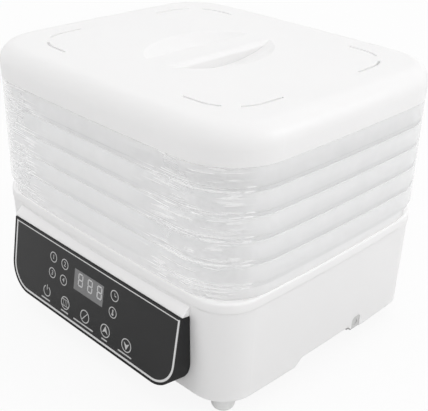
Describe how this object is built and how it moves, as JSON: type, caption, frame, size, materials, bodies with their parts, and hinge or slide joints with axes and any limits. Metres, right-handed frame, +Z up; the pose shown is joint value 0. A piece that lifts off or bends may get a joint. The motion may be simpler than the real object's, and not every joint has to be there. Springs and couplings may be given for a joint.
{
  "type": "food dehydrator",
  "caption": "Square counter-top food dehydrator: a white fan base with a sloping black touch panel, clear stacking trays with slotted floors and a white vented lid with a dished grip.",
  "frame": {"origin": "on the floor, at the centre of the whole object's box", "axes": "+Z up, +X to the right of someone facing the panel, the touch panel faces -Y"},
  "size_m": [0.312, 0.278, 0.243],
  "materials": {
    "white_plastic": "satin",
    "clear_plastic": "clear gloss",
    "grey_rubber": "matte",
    "pale_rubber": "matte",
    "black_plastic": "satin",
    "panel_gloss": "gloss",
    "display_lens": "gloss",
    "lamp_lens": "gloss",
    "dark_foam": "matte",
    "board_green": "satin",
    "dark_plastic": "satin",
    "terminal_plastic": "satin",
    "plated_steel": "satin",
    "lamination": "satin",
    "bearing_brass": "satin",
    "heater_sheath": "satin",
    "heater_ceramic": "matte"
  },
  "bodies": {
    "base": {"base_deck": "white_plastic", "base_housing": "white_plastic", "bottom_cover": "white_plastic", "feet": "pale_rubber", "cord_gland": "grey_rubber", "console_housing": "black_plastic", "control_panel": "panel_gloss", "display_module": "display_lens", "indicator_leds": "lamp_lens", "touch_foams": "dark_foam", "control_board": "board_green", "power_board": "board_green", "power_board_parts": "dark_plastic", "terminal_block": "terminal_plastic", "motor_bracket": "plated_steel", "motor_can": "plated_steel", "motor_cap": "plated_steel", "motor_stator": "lamination", "motor_bearings": "bearing_brass", "air_duct": "plated_steel", "heating_element": "heater_sheath", "heater_bushings": "heater_ceramic", "heater_brackets": "plated_steel", "thermal_cutout": "dark_plastic", "temperature_sensor": "dark_plastic", "cover_screws": "plated_steel", "bracket_screws": "plated_steel", "duct_screws": "plated_steel", "power_board_screws": "plated_steel", "control_board_screws": "plated_steel", "console_screws": "plated_steel"},
    "fan": {"motor_shaft": "plated_steel", "motor_rotor": "lamination", "fan_impeller": "dark_plastic"},
    "tray_1": {"tray_1": "clear_plastic"},
    "tray_2": {"tray_2": "clear_plastic"},
    "tray_3": {"tray_3": "clear_plastic"},
    "tray_4": {"tray_4": "clear_plastic"},
    "tray_5": {"tray_5": "clear_plastic"},
    "lid": {"lid": "white_plastic"}
  },
  "joints": [
    {"name": "fan_spin", "type": "hinge", "parent": "base", "child": "fan", "pos_m": [0, 0.00572, 0.082], "axis": [0, 0, 1], "continuous": true},
    {"name": "tray_1_lift", "type": "slide", "parent": "base", "child": "tray_1", "axis": [0, 0, 1], "range_m": [0, 0.06]},
    {"name": "tray_2_lift", "type": "slide", "parent": "tray_1", "child": "tray_2", "axis": [0, 0, 1], "range_m": [0, 0.06]},
    {"name": "tray_3_lift", "type": "slide", "parent": "tray_2", "child": "tray_3", "axis": [0, 0, 1], "range_m": [0, 0.06]},
    {"name": "tray_4_lift", "type": "slide", "parent": "tray_3", "child": "tray_4", "axis": [0, 0, 1], "range_m": [0, 0.06]},
    {"name": "tray_5_lift", "type": "slide", "parent": "tray_4", "child": "tray_5", "axis": [0, 0, 1], "range_m": [0, 0.06]},
    {"name": "lid_lift", "type": "slide", "parent": "tray_5", "child": "lid", "axis": [0, 0, 1], "range_m": [0, 0.1]}
  ]
}
